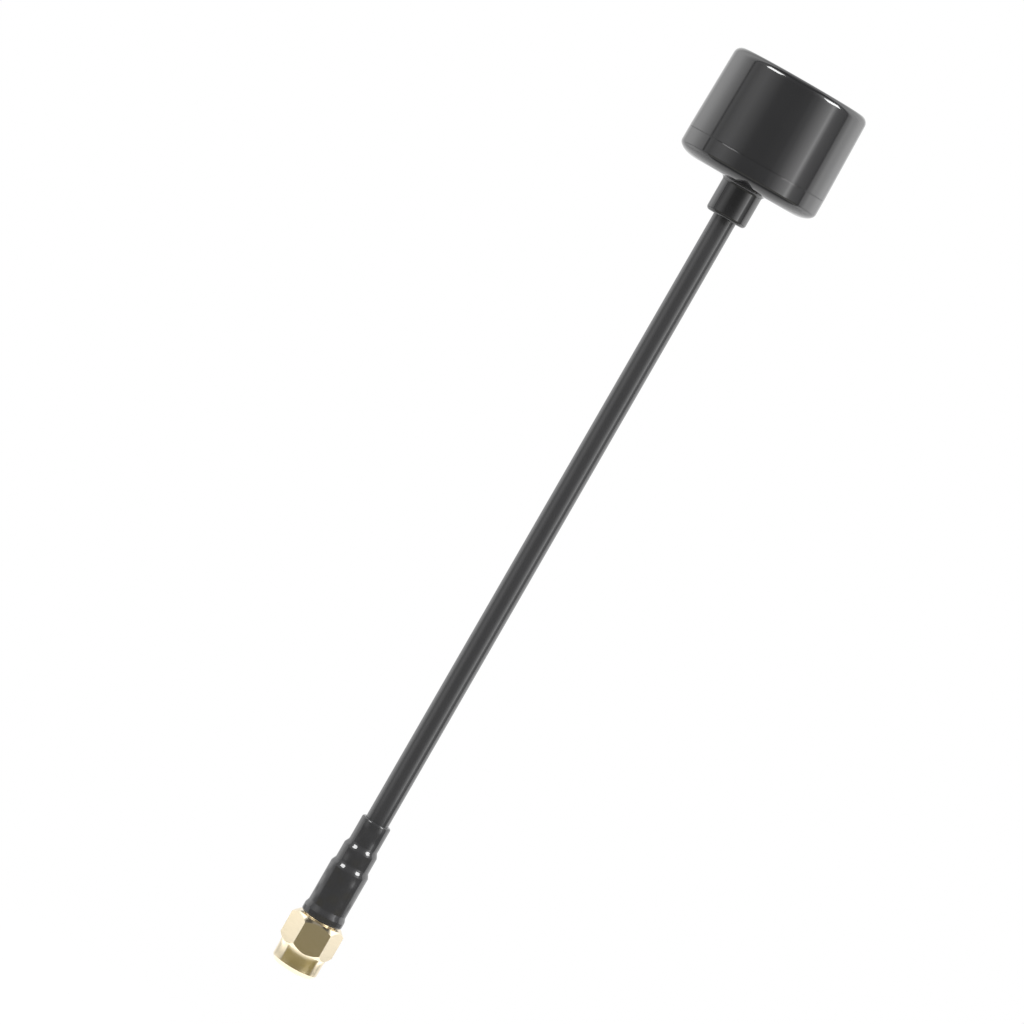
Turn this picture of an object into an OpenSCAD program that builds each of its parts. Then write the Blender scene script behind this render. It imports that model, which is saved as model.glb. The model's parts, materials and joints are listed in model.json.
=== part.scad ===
// Whip antenna: a round radome on a stiff coaxial stalk, with a threaded coaxial plug at its foot.
// The antenna stands along +Z. Its origin is the middle of the coupling nut's mouth. Millimetres.

/* [Radome cap] */
// Diameter of the radome where cap and base meet
radome_d = 23.9; // [22:0.1:28]
// Diameter of the cap at its top, less than below because the moulding is drafted
cap_top_d = 23.3; // [21.5:0.1:28]
// Height of the cap above the seam
cap_h = 14.4; // [12:0.1:24]
// Thickness of the cap's side wall
cap_wall = 1.2; // [0.8:0.05:1.6]
// Thickness of the cap's flat top
cap_top_t = 1.4; // [0.8:0.05:2]
// Rounding of the cap's top edge
cap_edge_r = 1.3; // [0.3:0.05:1.5]
// Rounding of the cap's lower edge, which draws the seam
cap_lip_r = 0.16; // [0.1:0.02:0.5]
// Rounding inside the cap, under its top
cap_inner_r = 0.6; // [0.2:0.05:1.2]

/* [Radome base] */
// Height of the base below the seam
base_h = 4.1; // [3.6:0.05:7]
// Width of the oval rounding under the base
corner_w = 3.3; // [2:0.05:5]
// Height of the oval rounding under the base
corner_h = 2.1; // [1:0.05:3]
// Thickness of the base's floor
floor_t = 1.6; // [1:0.1:2.4]
// Rounding of the base's upper edge at the seam
base_lip_r = 0.1; // [0.05:0.05:0.4]
// How far the base's spigot reaches up inside the cap
spigot_h = 1.8; // [1:0.1:3]
// Thickness of the spigot's wall
spigot_wall = 0.9; // [0.6:0.05:1.4]
// Diameter of the neck that grips the cable
neck_d = 6.85; // [6:0.05:9]
// Length of the neck
neck_l = 5.8; // [3:0.1:10]
// Fillet where the neck meets the floor
neck_root_r = 0.6; // [0.2:0.05:1]
// Rounding of the neck's free end
neck_end_r = 0.6; // [0.1:0.05:0.8]

/* [Cable] */
// Diameter of the cable's centre wire
core_d = 0.92; // [0.8:0.01:1]
// Diameter of the cable's insulation
dielectric_d = 2.98; // [2.7:0.01:3.1]
// Diameter of the cable's metal tube
shield_d = 3.58; // [3.4:0.01:3.7]
// Diameter of the cable's black jacket
jacket_d = 3.9; // [3.74:0.01:4.2]
// Length of cable that shows between sleeve and neck
exposed_l = 108.9; // [20:0.1:200]
// How far the jacket reaches in past the base's floor
jacket_inset = 0.3; // [0.1:0.1:1]

/* [Radiator boards] */
// Thickness of each radiator board
board_t = 0.8; // [0.5:0.05:1.2]
// Thickness of the copper on a board
copper_t = 0.1; // [0.07:0.01:0.15]
// Distance from the cap's ceiling down to the top board's underside
top_drop = 3.4; // [2.8:0.1:4]
// Pitch of the top board over the middle board
board_pitch = 4.8; // [3:0.1:5.5]
// Height of the lower board's underside over the base's floor
lower_lift = 1.9; // [0.8:0.1:2.4]
// Number of copper arms on a board
arm_count = 3; // [3:1:4]
// Width of a copper arm
arm_w = 1.3; // [0.6:0.1:1.8]
// Angle that a copper arm runs along the board's rim
arm_sweep = 74; // [40:1:78]
// Space between the copper and the board's rim
arm_margin = 0.5; // [0.3:0.05:1]
// Width of the copper ring around the board's hole
hub_w = 1.5; // [1:0.1:2]
// Height of a solder fillet
solder_h = 0.7; // [0.3:0.05:1]
// Width of a solder fillet at its foot
solder_w = 0.9; // [0.4:0.05:1]

/* [Shrink sleeve] */
// Thickness of the shrunk sleeve's wall
sleeve_wall = 0.55; // [0.25:0.01:0.7]
// How far the sleeve runs up the cable past the ferrule
sleeve_top_l = 5.3; // [2:0.1:12]
// Length over which the sleeve slopes down behind the flange
flange_slope = 0.4; // [0.2:0.05:1]
// Length over which the sleeve slopes down behind the barrel and the ferrule
sleeve_slope = 0.85; // [0.4:0.05:1.2]
// Rounding of the sleeve's two cut ends
sleeve_end_r = 0.3; // [0.05:0.05:0.4]

/* [Plug body] */
// Diameter of the plug's outer contact
pilot_d = 4.59; // [4.56:0.005:4.6]
// Length of the outer contact
pilot_l = 1.77; // [1.4:0.01:2.2]
// Diameter of the land that carries the gasket
land_d = 4.9; // [4.8:0.01:5.1]
// Diameter of the shoulder and neck that the nut turns on
journal_d = 5.48; // [5.4:0.01:5.7]
// Length of the shoulder in front of the ring's groove
shoulder_l = 1.15; // [0.8:0.01:1.3]
// Depth of the ring's groove in the plug body
body_groove_depth = 0.39; // [0.2:0.01:0.45]
// Diameter of the flange behind the nut
flange_d = 5.96; // [5.8:0.02:6.6]
// Length of the flange
flange_l = 1.1; // [0.8:0.05:3]
// Diameter of the barrel behind the flange
barrel_d = 5.46; // [5:0.02:5.6]
// Length of the barrel
barrel_l = 7.85; // [4:0.05:12]
// Diameter of the solder ferrule behind the barrel
ferrule_d = 4.7; // [4.4:0.02:4.9]
// Length of the solder ferrule
ferrule_l = 3.5; // [2:0.05:6]
// Small chamfer on the plug's turned edges
turned_chamfer = 0.12; // [0.05:0.01:0.15]

/* [Plug inner pieces] */
// Diameter of the plug's insulator
insulator_d = 4.1; // [4:0.01:4.14]
// Distance from the insulator's rear end to the flange behind it
insulator_stop = 0.15; // [0.05:0.05:0.6]
// Length of the insulator's narrow front hole
insulator_nose_l = 0.9; // [0.5:0.05:1.5]
// Diameter of the contact pin's nose
pin_d = 0.92; // [0.9:0.005:0.94]
// How far the pin stands out in front of the outer contact
pin_reach = 1.98; // [1.7:0.01:2.0]
// Length of the pin's rounded tip
pin_tip_l = 0.5; // [0.3:0.05:0.8]
// Diameter of the pin's solder cup
cup_d = 1.3; // [1.2:0.01:1.5]
// Depth of the pin's solder cup
cup_depth = 2.4; // [1.5:0.1:3]
// Diameter of the solder hole in the cup's side
cup_hole_d = 0.4; // [0.3:0.05:0.5]
// Thickness of the gasket
gasket_t = 0.6; // [0.4:0.05:0.8]
// Outer diameter of the gasket
gasket_d = 5.56; // [5.3:0.02:5.7]
// Thickness of the retaining ring
ring_t = 0.55; // [0.4:0.01:0.7]
// Width of the retaining ring's section
ring_w = 0.6; // [0.5:0.01:0.7]
// Gap between the retaining ring's two ends
ring_gap = 1.4; // [0.8:0.1:2.5]

/* [Coupling nut] */
// Length of the coupling nut
nut_l = 8.8; // [8.5:0.05:11]
// Width of the nut across its flats
nut_af = 8; // [7.9:0.02:8.4]
// Turn of the hexagon about the axis
nut_turn = 5.4; // [0:0.1:60]
// Diameter of the nut's round front collar
collar_d = 7.88; // [7.7:0.02:7.9]
// Length of the nut's round front collar
collar_l = 2.9; // [2.5:0.05:4.5]
// Length of the cone that the collar's front end tapers with
collar_taper_l = 0.7; // [0.3:0.05:1.2]
// Length of the gentle cone between collar and hexagon
waist_l = 0.6; // [0.2:0.05:1]
// How far the gentle cone stays inside the flats
waist_step = 0.02; // [0.02:0.01:0.1]
// Width of the flat ring left at the nut's front end
front_ring_w = 0.1; // [0.05:0.05:0.3]
// Angle of the cone that breaks the hexagon's front corners, from the axis
hex_front_angle = 40; // [25:1:60]
// Angle of the cone that breaks the hexagon's rear corners, from the axis
hex_rear_angle = 46; // [30:1:60]
// How far the rear cone cuts into the flats
rear_bite = 0.2; // [0.02:0.01:0.3]
// Diameter of the smooth bore at the nut's mouth
mouth_d = 6.4; // [6.38:0.01:6.5]
// Length of the smooth bore at the nut's mouth
mouth_l = 1.2; // [0.8:0.05:1.3]
// Diameter of the thread at half its depth
thread_d = 5.9; // [5.86:0.01:5.94]
// Length of the rear bore behind the retaining ring's groove
rear_land_l = 1.4; // [0.8:0.05:1.6]
// Diameter of the relief between thread and rear bore
relief_d = 6.3; // [6.24:0.02:6.5]
// Small chamfer on the nut's inner edges
bore_chamfer = 0.1; // [0.05:0.01:0.15]

/* [Fits] */
// Radial clearance between the nut's rear bore and the journal
nut_fit = 0.06; // [0.02:0.01:0.1]
// Gap along the axis between the nut and the flange
nut_end_gap = 0.25; // [0.1:0.05:0.5]
// Radial room around the retaining ring in the nut's groove
ring_room = 0.1; // [0.05:0.01:0.15]
// Room along the axis on each side of the ring in the body's groove
ring_slack = 0.05; // [0.02:0.01:0.1]
// Radial clearance between pieces that are soldered, pressed or glued
seat_gap = 0.01; // [0.005:0.005:0.03]
// Radial clearance between cap and spigot
spigot_fit = 0.05; // [0.02:0.01:0.15]
// Radial clearance between neck and cable
neck_fit = 0.05; // [0.02:0.01:0.15]
// Space between the radiator boards and the spigot
board_room = 0.45; // [0.2:0.05:1]

/* [Hidden] */

// Segments of a full circle, and steps of a quarter round in an outline
$fn = 96;
round_steps = 8;
// Overlap of a cutting shape past the face that it cuts
cut = 0.5;

// Heights along the plug, from the nut's mouth. The body hangs in the nut by the retaining ring, so its
// front end is placed from the nut's rear end: the outer contact ends at face_z.
groove_w = ring_t + 2 * ring_slack;
groove_end_z = nut_l - rear_land_l;
groove_z = groove_end_z - groove_w;
shoulder_z = groove_z - shoulder_l;
land_z = shoulder_z - gasket_t;
face_z = land_z - pilot_l;
flange_z = nut_l + nut_end_gap;
insulator_end_z = flange_z - insulator_stop;
barrel_z = flange_z + flange_l;
ferrule_z = barrel_z + barrel_l;
ferrule_end_z = ferrule_z + ferrule_l;
sleeve_end_z = ferrule_end_z + sleeve_top_l;

// Heights along the head
neck_z = sleeve_end_z + exposed_l;
base_z = neck_z + neck_l;
floor_z = base_z + floor_t;
seam_z = base_z + base_h;
top_z = seam_z + cap_h;
ceiling_z = top_z - cap_top_t;
top_board_z = ceiling_z - top_drop;
middle_board_z = top_board_z - board_pitch;
lower_board_z = floor_z + lower_lift;

// Draft of the cap's side
cap_draft = atan((radome_d - cap_top_d) / 2 / cap_h);

// Radii
radome_r = radome_d / 2;
spigot_r = cap_wall_r(spigot_h) - spigot_fit;
spigot_in_r = spigot_r - spigot_wall;
board_r = spigot_in_r - board_room;
shield_hole_r = shield_d / 2 + seat_gap;
core_hole_r = core_d / 2 + seat_gap;
journal_r = journal_d / 2;
body_groove_r = journal_r - body_groove_depth;
ring_in_r = body_groove_r + ring_slack;
ring_out_r = ring_in_r + ring_w;
nut_groove_r = ring_out_r + ring_room;
nut_rear_r = journal_r + nut_fit;
hex_r = nut_af / 2 / cos(30);

// Inner radius of the cap's side wall at height h above the seam
function cap_wall_r(h) = radome_r - cap_wall - h * tan(cap_draft);

// Points of a round or oval stretch about c, from angle a0 to a1
function oval(c, rx, ry, a0, a1) =
    [for (i = [0:round_steps]) let (a = a0 + (a1 - a0) * i / round_steps)
        [c[0] + rx * cos(a), c[1] + ry * sin(a)]];
function arc(c, r, a0, a1) = oval(c, r, r, a0, a1);

// Smooth step from 0 to 1
function ease(t) = t * t * (3 - 2 * t);

// Outline points of a step of length l from radius r0 to r1 that starts at height z
function eased_step(z, l, r0, r1) =
    [for (i = [0:round_steps]) let (t = i / round_steps)
        [r0 + (r1 - r0) * ease(t), z + l * t]];

// Ring or tube between two radii
module tube(z, l, r_in, r_out) {
    translate([0, 0, z])
        difference() {
            cylinder(r = r_out, h = l);
            translate([0, 0, -cut]) cylinder(r = r_in, h = l + 2 * cut);
        }
}

// Round board with a hole in its middle
module board(z, hole_r) {
    color("darkolivegreen") tube(z, board_t, hole_r, board_r);
}

// One copper arm: a spoke that turns into a curved strip along the rim
module arm_outline() {
    rim_r = board_r - arm_margin;
    spoke_edge = asin(arm_w / 2 / rim_r);
    translate([0, -arm_w / 2]) square([rim_r - arm_w / 2, arm_w]);
    intersection() {
        difference() {
            circle(r = rim_r);
            circle(r = rim_r - arm_w);
        }
        polygon(concat([[0, 0]], [for (i = [0:round_steps])
            let (a = -spoke_edge + (arm_sweep + spoke_edge) * i / round_steps)
                2 * rim_r * [cos(a), sin(a)]]));
    }
}

// Copper arms around a hub. hand is 1 or -1 for the two ways that they may turn
module arms(z, hole_r, hand) {
    color("peru") translate([0, 0, z]) linear_extrude(copper_t)
        difference() {
            union() {
                circle(r = hole_r + hub_w);
                for (i = [0:arm_count - 1])
                    rotate(360 / arm_count * i) mirror([0, hand < 0 ? 1 : 0]) arm_outline();
            }
            circle(r = hole_r);
        }
}

// Solder fillet: a hollow-sided cone around whatever passes through the board
module solder(z, hole_r) {
    color("silver") rotate_extrude()
        polygon(concat(
            [[hole_r, z]],
            [for (i = [0:round_steps]) let (a = 90 * i / round_steps)
                [hole_r + solder_w * (1 - sin(a)) + seat_gap, z + solder_h * (1 - cos(a))]],
            [[hole_r, z + solder_h]]));
}

module radome_cap() {
    lip = [radome_r - cap_lip_r, seam_z + cap_lip_r];
    edge = [radome_r - (cap_h - cap_edge_r) * tan(cap_draft) - cap_edge_r / cos(cap_draft),
            top_z - cap_edge_r];
    inner = [cap_wall_r(ceiling_z - seam_z) - cap_inner_r, ceiling_z - cap_inner_r];
    color("dimgray") rotate_extrude()
        polygon(concat(
            arc(lip, cap_lip_r, -90, 0),
            arc(edge, cap_edge_r, cap_draft, 90),
            [[0, top_z], [0, ceiling_z]],
            arc(inner, cap_inner_r, 90, cap_draft),
            [[cap_wall_r(0), seam_z]]));
}

module radome_base() {
    neck_r = neck_d / 2;
    bore_r = jacket_d / 2 + neck_fit;
    color("dimgray") rotate_extrude()
        polygon(concat(
            [[bore_r, neck_z + neck_end_r], [bore_r + neck_end_r, neck_z]],
            arc([neck_r - neck_end_r, neck_z + neck_end_r], neck_end_r, -90, 0),
            arc([neck_r + neck_root_r, base_z - neck_root_r], neck_root_r, 180, 90),
            oval([radome_r - corner_w, base_z + corner_h], corner_w, corner_h, -90, 0),
            arc([radome_r - base_lip_r, seam_z - base_lip_r], base_lip_r, 0, 90),
            [[spigot_r, seam_z], [spigot_r, seam_z + spigot_h - cap_lip_r],
             [spigot_r - cap_lip_r, seam_z + spigot_h], [spigot_in_r, seam_z + spigot_h],
             [spigot_in_r, floor_z], [bore_r, floor_z]]));
}

module top_board() { board(top_board_z, core_hole_r); }
module middle_board() { board(middle_board_z, shield_hole_r); }
module lower_board() { board(lower_board_z, shield_hole_r); }

module top_arms() { arms(top_board_z + board_t, core_hole_r, 1); }
module middle_arms() { arms(middle_board_z + board_t, shield_hole_r, -1); }

// The lower board's copper is a closed ring with spokes to its hub
module lower_ring() {
    rim_r = board_r - arm_margin;
    color("peru") translate([0, 0, lower_board_z + board_t]) linear_extrude(copper_t)
        difference() {
            union() {
                difference() {
                    circle(r = rim_r);
                    circle(r = rim_r - arm_w);
                }
                circle(r = shield_hole_r + hub_w);
                for (i = [0:arm_count - 1])
                    rotate(360 / arm_count * i) translate([0, -arm_w / 2]) square([rim_r - arm_w / 2, arm_w]);
            }
            circle(r = shield_hole_r);
        }
}

module top_solder() { solder(top_board_z + board_t + copper_t, core_hole_r); }
module middle_solder() { solder(middle_board_z + board_t + copper_t, shield_hole_r); }
module lower_solder() { solder(lower_board_z + board_t + copper_t, shield_hole_r); }

module cable_core() {
    start = insulator_end_z - cup_depth;
    color("gold") translate([0, 0, start])
        cylinder(d = core_d, h = top_board_z + board_t + copper_t + solder_h - start);
}

module cable_dielectric() {
    color("white")
        tube(insulator_end_z, top_board_z - insulator_end_z, core_hole_r, dielectric_d / 2);
}

module cable_shield() {
    color("silver")
        tube(insulator_end_z, middle_board_z + board_t + copper_t + solder_h - insulator_end_z,
             dielectric_d / 2 + seat_gap, shield_d / 2);
}

module cable_jacket() {
    color("black")
        tube(ferrule_end_z, floor_z + jacket_inset - ferrule_end_z, shield_hole_r, jacket_d / 2);
}

module shrink_sleeve() {
    flange_in = flange_d / 2 + seat_gap;
    barrel_in = barrel_d / 2 + seat_gap;
    ferrule_in = ferrule_d / 2 + seat_gap;
    cable_in = jacket_d / 2 + seat_gap;
    inner = concat(
        [[flange_in, flange_z]],
        eased_step(barrel_z, flange_slope, flange_in, barrel_in),
        eased_step(ferrule_z, sleeve_slope, barrel_in, ferrule_in),
        eased_step(ferrule_end_z, sleeve_slope, ferrule_in, cable_in),
        [[cable_in, sleeve_end_z]]);
    last = len(inner) - 1;
    color("black") rotate_extrude()
        polygon(concat(
            arc([flange_in + sleeve_wall - sleeve_end_r, flange_z + sleeve_end_r], sleeve_end_r, -90, 0),
            [for (i = [1:last - 1]) inner[i] + [sleeve_wall, 0]],
            arc([cable_in + sleeve_wall - sleeve_end_r, sleeve_end_z - sleeve_end_r], sleeve_end_r, 0, 90),
            [for (i = [last:-1:0]) inner[i]]));
}

module solder_ferrule() {
    color("silver") tube(ferrule_z, ferrule_l, shield_hole_r, ferrule_d / 2);
}

module plug_body() {
    pilot_r = pilot_d / 2;
    insulator_hole_r = insulator_d / 2 + seat_gap;
    color("goldenrod") rotate_extrude()
        polygon([
            [insulator_hole_r, face_z], [pilot_r - turned_chamfer, face_z],
            [pilot_r, face_z + turned_chamfer], [pilot_r, land_z],
            [land_d / 2, land_z], [land_d / 2, shoulder_z],
            [journal_r, shoulder_z], [journal_r, groove_z],
            [body_groove_r, groove_z], [body_groove_r, groove_end_z],
            [journal_r, groove_end_z], [journal_r, flange_z],
            [flange_d / 2 - turned_chamfer, flange_z], [flange_d / 2, flange_z + turned_chamfer],
            [flange_d / 2, barrel_z], [barrel_d / 2, barrel_z],
            [barrel_d / 2, ferrule_z - turned_chamfer], [barrel_d / 2 - turned_chamfer, ferrule_z],
            [shield_hole_r, ferrule_z], [shield_hole_r, insulator_end_z],
            [insulator_hole_r, insulator_end_z]]);
}

module plug_insulator() {
    nose_hole_r = pin_d / 2 + seat_gap;
    cup_hole_r = cup_d / 2 + seat_gap;
    nose_z = face_z + insulator_nose_l;
    color("white") rotate_extrude()
        polygon([
            [nose_hole_r, face_z], [insulator_d / 2, face_z],
            [insulator_d / 2, insulator_end_z], [cup_hole_r, insulator_end_z],
            [cup_hole_r, nose_z], [nose_hole_r, nose_z]]);
}

module contact_pin() {
    tip_z = face_z - pin_reach;
    cup_z = face_z + insulator_nose_l;
    cup_floor_z = insulator_end_z - cup_depth;
    color("goldenrod") difference() {
        rotate_extrude()
            polygon(concat(
                oval([0, tip_z + pin_tip_l], pin_d / 2, pin_tip_l, -90, 0),
                [[pin_d / 2, cup_z], [cup_d / 2, cup_z], [cup_d / 2, insulator_end_z], [0, insulator_end_z]]));
        translate([0, 0, cup_floor_z]) cylinder(r = core_hole_r, h = cup_depth + cut);
        translate([0, 0, cup_floor_z + cup_depth / 2]) rotate([90, 0, 0]) cylinder(d = cup_hole_d, h = cup_d);
    }
}

module sealing_gasket() {
    color("firebrick") tube(land_z, gasket_t, land_d / 2 + seat_gap, gasket_d / 2);
}

module retaining_ring() {
    color("darkgoldenrod") difference() {
        tube(groove_z + ring_slack, ring_t, ring_in_r, ring_out_r);
        translate([0, -ring_gap / 2, groove_z]) cube([2 * ring_out_r, ring_gap, groove_w]);
    }
}

// Outside of the nut: the turned outline that a hexagon bar is cut down to
module nut_outline() {
    collar_r = collar_d / 2;
    front_r = mouth_d / 2 + bore_chamfer + front_ring_w;
    waist_r = nut_af / 2 - waist_step;
    waist_z = collar_l + waist_l;
    corner_r = hex_r + cut;
    rear_r = nut_af / 2 - rear_bite;
    rotate_extrude()
        polygon([
            [0, 0], [front_r, 0], [collar_r, collar_taper_l], [collar_r, collar_l], [waist_r, waist_z],
            [corner_r, waist_z + (corner_r - waist_r) / tan(hex_front_angle)],
            [corner_r, nut_l - (corner_r - rear_r) / tan(hex_rear_angle)],
            [rear_r, nut_l], [0, nut_l]]);
}

module coupling_nut() {
    mouth_r = mouth_d / 2;
    thread_r = thread_d / 2;
    relief_r = relief_d / 2;
    relief_z = land_z - ring_slack * 4;
    relief_end_z = shoulder_z + ring_slack * 3;
    color("goldenrod") difference() {
        intersection() {
            rotate(nut_turn) cylinder(r = hex_r, h = nut_l, $fn = 6);
            nut_outline();
        }
        rotate_extrude()
            polygon([
                [0, -cut], [mouth_r + bore_chamfer + cut, -cut], [mouth_r, bore_chamfer],
                [mouth_r, mouth_l], [thread_r, mouth_l + mouth_r - thread_r], [thread_r, relief_z],
                [relief_r, relief_z], [relief_r, relief_end_z], [nut_rear_r, relief_end_z],
                [nut_rear_r, groove_z - ring_slack], [nut_groove_r, groove_z - ring_slack],
                [nut_groove_r, groove_end_z + ring_slack], [nut_rear_r, groove_end_z + ring_slack],
                [nut_rear_r, nut_l - bore_chamfer], [nut_rear_r + bore_chamfer + cut, nut_l + cut],
                [0, nut_l + cut]]);
    }
}

radome_cap();
radome_base();
top_board();
top_arms();
top_solder();
middle_board();
middle_arms();
middle_solder();
lower_board();
lower_ring();
lower_solder();
cable_core();
cable_dielectric();
cable_shield();
cable_jacket();
shrink_sleeve();
solder_ferrule();
plug_body();
plug_insulator();
contact_pin();
sealing_gasket();
retaining_ring();
coupling_nut();
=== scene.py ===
"""Looks of the video-link antenna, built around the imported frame.

Radome, coaxial stalk, shrunk sleeve and gold-plated coupling nut, with the studio that
they stand in.
"""

import json
import logging
import math
from dataclasses import dataclass, replace
from enum import Enum

import bmesh
import bpy
from mathutils import Matrix, Vector


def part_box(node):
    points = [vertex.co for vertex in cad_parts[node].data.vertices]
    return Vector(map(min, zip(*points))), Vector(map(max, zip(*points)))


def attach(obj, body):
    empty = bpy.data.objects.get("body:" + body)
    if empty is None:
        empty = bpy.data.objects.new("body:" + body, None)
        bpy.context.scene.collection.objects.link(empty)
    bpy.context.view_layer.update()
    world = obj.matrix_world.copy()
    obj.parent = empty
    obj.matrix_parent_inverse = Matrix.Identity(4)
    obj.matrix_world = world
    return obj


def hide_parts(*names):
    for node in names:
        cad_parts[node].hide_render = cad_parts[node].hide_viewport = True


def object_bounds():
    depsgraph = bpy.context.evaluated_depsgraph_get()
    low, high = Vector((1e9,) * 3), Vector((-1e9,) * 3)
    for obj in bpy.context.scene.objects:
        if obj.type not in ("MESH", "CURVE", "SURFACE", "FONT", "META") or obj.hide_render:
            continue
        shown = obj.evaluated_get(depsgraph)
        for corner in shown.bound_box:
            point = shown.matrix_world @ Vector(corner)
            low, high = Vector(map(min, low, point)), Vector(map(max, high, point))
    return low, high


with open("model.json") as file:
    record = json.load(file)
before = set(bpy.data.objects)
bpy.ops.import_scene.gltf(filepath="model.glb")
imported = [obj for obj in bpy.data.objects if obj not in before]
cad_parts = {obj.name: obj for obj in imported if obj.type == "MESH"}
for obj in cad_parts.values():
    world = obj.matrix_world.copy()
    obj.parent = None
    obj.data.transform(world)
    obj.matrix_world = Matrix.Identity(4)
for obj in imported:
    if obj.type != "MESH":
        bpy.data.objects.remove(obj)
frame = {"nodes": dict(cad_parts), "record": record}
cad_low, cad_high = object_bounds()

LOG = logging.getLogger("antenna")
MM = 0.001
# Edges that bend by more than this many degrees stay crisp
SHARP_ANGLE = 28
# Points closer than this many metres are one point
MERGE_DISTANCE = 1e-7
# Octaves of the fine grain and of the broad clouds, and the weight of the finer ones
GRAIN_OCTAVES, GRAIN_WEIGHT = 3.0, 0.55
CLOUD_OCTAVES, CLOUD_WEIGHT = 2.0, 0.5
# Noise seldom leaves this range, so the range is spread over the whole gloss
NOISE_LOW, NOISE_HIGH = 0.3, 0.7

Point = tuple[float, float, float]
# Points of radius and height in millimetres
Outline = list[tuple[float, float]]
# Turns in degrees from the camera's side, to the right positive, each with its level
Levels = tuple[tuple[float, float], ...]
# Where a change starts and where it ends
Span = tuple[float, float]


def linear(hex_colour: str) -> tuple[float, float, float, float]:
    """Turns an sRGB hex colour into a linear RGBA colour.

    Args:
        hex_colour: Six hex digits with a leading hash sign.

    Returns:
        Linear red, green and blue, with an alpha of 1.
    """
    parts = [int(hex_colour[i : i + 2], 16) / 255 for i in (1, 3, 5)]
    out = [c / 12.92 if c <= 0.04045 else ((c + 0.055) / 1.055) ** 2.4 for c in parts]
    return (out[0], out[1], out[2], 1.0)


def add_node(
    tree: bpy.types.NodeTree,
    kind: str,
    settings: dict[str, object] | None = None,
    links: dict[str, bpy.types.NodeSocket] | None = None,
) -> bpy.types.Node:
    """Adds a node with its settings and its incoming links.

    Args:
        tree: The node tree that gets the node.
        kind: The node's type name.
        settings: Attribute or input names with their values.
        links: Input names with the output sockets that feed them.

    Returns:
        The new node.
    """
    node = tree.nodes.new(kind)
    for name, value in (settings or {}).items():
        if hasattr(node, name) and name not in node.inputs:
            setattr(node, name, value)
        else:
            node.inputs[int(name) if name.isdigit() else name].default_value = value
    for name, socket in (links or {}).items():
        tree.links.new(socket, node.inputs[int(name) if name.isdigit() else name])
    return node


class Grain(Enum):
    """How the fine marks of a surface run."""

    EVEN = (1.0, 1.0, 1.0)
    ALONG = (1.0, 1.0, 0.06)
    AROUND = (0.08, 0.08, 1.0)


@dataclass(frozen=True)
class Finish:
    """One surface finish: a slightly varied colour, a gloss and a fine relief.

    The grain sizes are real sizes. Relief finer than about 0.3 mm can't show in the
    render, so such grain is drawn that coarse.
    """

    name: str
    slot: str
    colour: str
    second_colour: str
    roughness: float
    roughness_spread: float
    ior: float = 1.5
    metallic: float = 0.0
    grain_mm: float = 0.5
    relief_mm: float = 0.002
    grain: Grain = Grain.EVEN
    cloud_mm: float = 6.0

    def material(self) -> bpy.types.Material:
        """Builds the finish as a node material, or returns the one already built.

        Returns:
            The material.
        """
        known = bpy.data.materials.get(self.name)
        if known:
            return known
        made = bpy.data.materials.new(self.name)
        made.use_nodes = True
        tree = made.node_tree
        tree.nodes.clear()
        place = add_node(tree, "ShaderNodeTexCoord")
        stretch = add_node(
            tree,
            "ShaderNodeMapping",
            {"Scale": Vector(self.grain.value)},
            {"Vector": place.outputs["Object"]},
        )
        grain = add_node(
            tree,
            "ShaderNodeTexNoise",
            {
                "Scale": 1 / (self.grain_mm * MM),
                "Detail": GRAIN_OCTAVES,
                "Roughness": GRAIN_WEIGHT,
            },
            {"Vector": stretch.outputs["Vector"]},
        )
        cloud = add_node(
            tree,
            "ShaderNodeTexNoise",
            {
                "Scale": 1 / (self.cloud_mm * MM),
                "Detail": CLOUD_OCTAVES,
                "Roughness": CLOUD_WEIGHT,
            },
            {"Vector": place.outputs["Object"]},
        )
        colour = add_node(
            tree,
            "ShaderNodeMix",
            {"data_type": "RGBA"},
            {"0": cloud.outputs["Fac"]},
        )
        colour.inputs[6].default_value = linear(self.colour)
        colour.inputs[7].default_value = linear(self.second_colour)
        gloss = add_node(
            tree,
            "ShaderNodeMapRange",
            {
                "From Min": NOISE_LOW,
                "From Max": NOISE_HIGH,
                "To Min": self.roughness - self.roughness_spread,
                "To Max": self.roughness + self.roughness_spread,
            },
            {"Value": grain.outputs["Fac"]},
        )
        relief = add_node(
            tree,
            "ShaderNodeBump",
            {"Strength": 1.0, "Distance": self.relief_mm * MM},
            {"Height": grain.outputs["Fac"]},
        )
        shader = add_node(
            tree,
            "ShaderNodeBsdfPrincipled",
            {"Metallic": self.metallic, "IOR": self.ior},
            {
                "Base Color": colour.outputs[2],
                "Roughness": gloss.outputs["Result"],
                "Normal": relief.outputs["Normal"],
            },
        )
        add_node(
            tree, "ShaderNodeOutputMaterial", {}, {"Surface": shader.outputs["BSDF"]}
        )
        return made


# Injection-moulded polycarbonate blend from a polished mould: deep black, mirror-like
# with a faint haze.
MOULDED_POLYCARBONATE = Finish(
    "moulded_polycarbonate",
    "radome_plastic",
    "#1e1e1f",
    "#222223",
    0.1,
    0.015,
    ior=1.58,
    relief_mm=0.0006,
    grain_mm=1.2,
)
# The same plastic from the base's finer polished mould: its reflections have crisper
# borders.
POLISHED_POLYCARBONATE = replace(
    MOULDED_POLYCARBONATE,
    name="polished_polycarbonate",
    roughness=0.05,
    roughness_spread=0.01,
)
# Extruded polyethylene jacket: black with fine die lines along its length and a clean
# gloss.
EXTRUDED_JACKET = Finish(
    "extruded_jacket",
    "jacket_plastic",
    "#303031",
    "#353536",
    0.06,
    0.01,
    ior=1.53,
    grain_mm=0.35,
    relief_mm=0.0006,
    grain=Grain.ALONG,
)
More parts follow.
